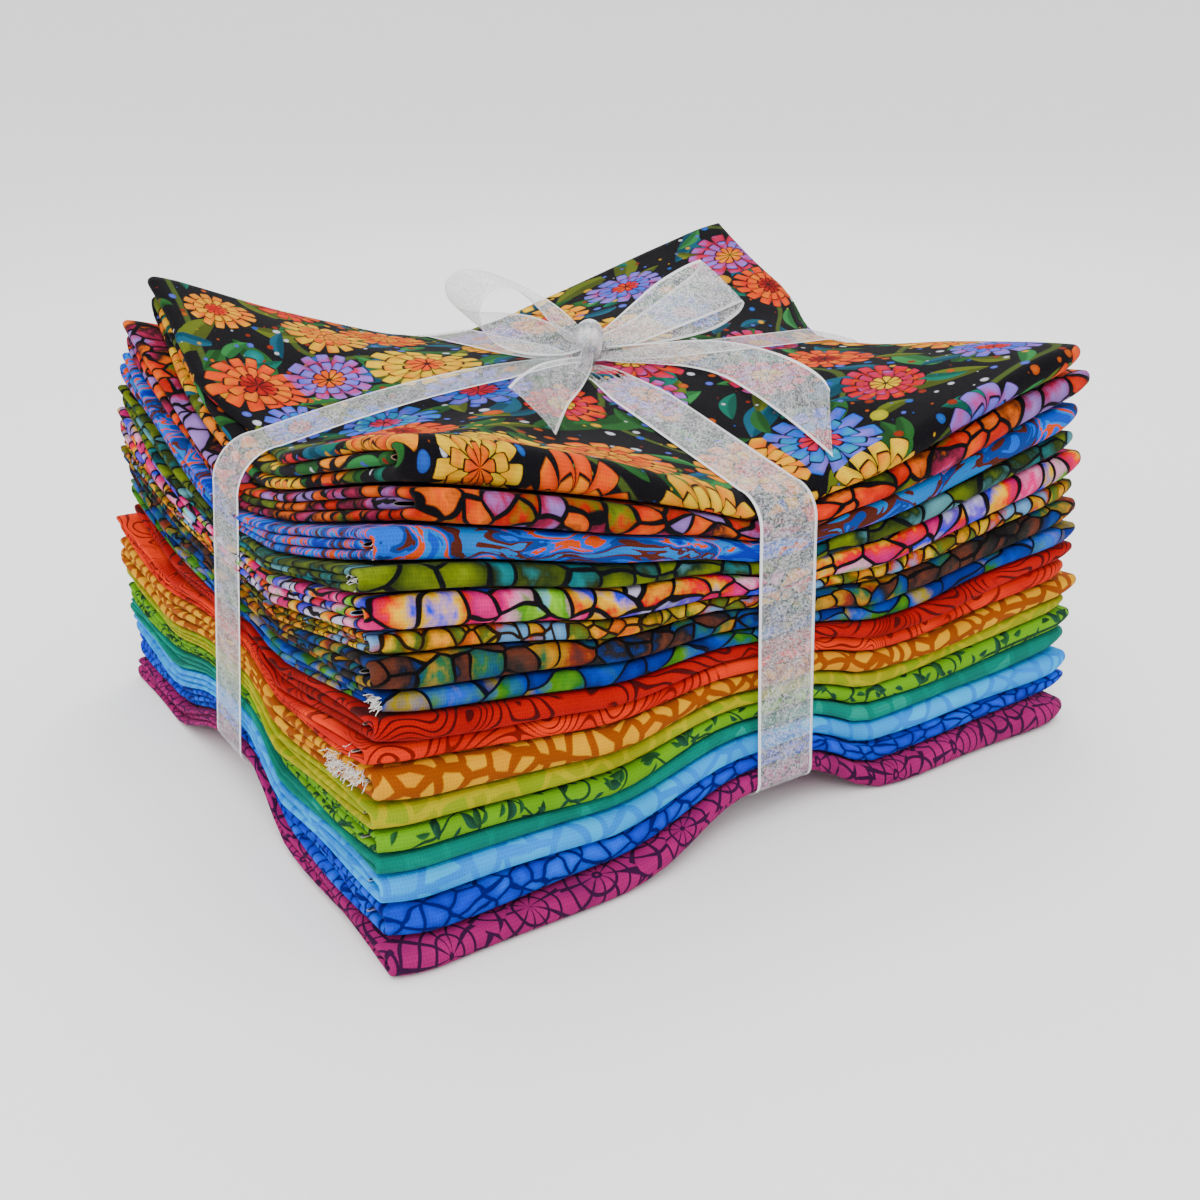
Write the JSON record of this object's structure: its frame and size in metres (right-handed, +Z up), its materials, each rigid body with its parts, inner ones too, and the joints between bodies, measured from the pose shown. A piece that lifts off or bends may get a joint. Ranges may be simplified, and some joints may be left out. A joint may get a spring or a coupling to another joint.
{
  "type": "fabric bundle",
  "caption": "Stack of folded quilting cottons tied both ways round its middle with a sheer ribbon and a bow, so that its corners stand up.",
  "frame": {"origin": "middle of the stack's footprint, on the surface it stands on", "axes": "+X along the stack's long side, towards the open ends of the folds; +Y from the wrapped front edges to the back; +Z up"},
  "size_m": [0.2318, 0.195, 0.1384],
  "materials": {
    "cotton_01_black_garden": "printed cotton, near-black garden print",
    "cotton_02_black_cells": "printed cotton, red and black cells",
    "cotton_03_blue_marble": "printed cotton, bright blue marbling",
    "cotton_04_teal_leaf": "printed cotton, teal and olive leaves",
    "cotton_05_bright_cells": "printed cotton, bright mixed cells",
    "cotton_06_gold_moss": "printed cotton, gold and olive",
    "cotton_07_charcoal_stones": "printed cotton, charcoal pebbles",
    "cotton_08_royal_stones": "printed cotton, royal blue pebbles",
    "cotton_09_red_swirl": "printed cotton, red swirls",
    "cotton_10_orange_swirl": "printed cotton, red-orange swirls",
    "cotton_11_gold_pebble": "printed cotton, gold pebbles",
    "cotton_12_lime": "printed cotton, tonal lime",
    "cotton_13_green_vine": "printed cotton, green leaf vines",
    "cotton_14_teal": "printed cotton, tonal teal",
    "cotton_15_sky": "printed cotton, tonal sky blue",
    "cotton_16_blue_pebble": "printed cotton, blue pebbles",
    "cotton_17_magenta_fan": "printed cotton, magenta fans",
    "ribbon": "sheer silvery organza with woven edges"
  },
  "bodies": {
    "root": {"cotton_01_black_garden": "cotton_01_black_garden", "cotton_02_black_cells": "cotton_02_black_cells", "cotton_03_blue_marble": "cotton_03_blue_marble", "cotton_04_teal_leaf": "cotton_04_teal_leaf", "cotton_05_bright_cells": "cotton_05_bright_cells", "cotton_06_gold_moss": "cotton_06_gold_moss", "cotton_07_charcoal_stones": "cotton_07_charcoal_stones", "cotton_08_royal_stones": "cotton_08_royal_stones", "cotton_09_red_swirl": "cotton_09_red_swirl", "cotton_10_orange_swirl": "cotton_10_orange_swirl", "cotton_11_gold_pebble": "cotton_11_gold_pebble", "cotton_12_lime": "cotton_12_lime", "cotton_13_green_vine": "cotton_13_green_vine", "cotton_14_teal": "cotton_14_teal", "cotton_15_sky": "cotton_15_sky", "cotton_16_blue_pebble": "cotton_16_blue_pebble", "cotton_17_magenta_fan": "cotton_17_magenta_fan", "ribbon": "ribbon"}
  },
  "joints": []
}
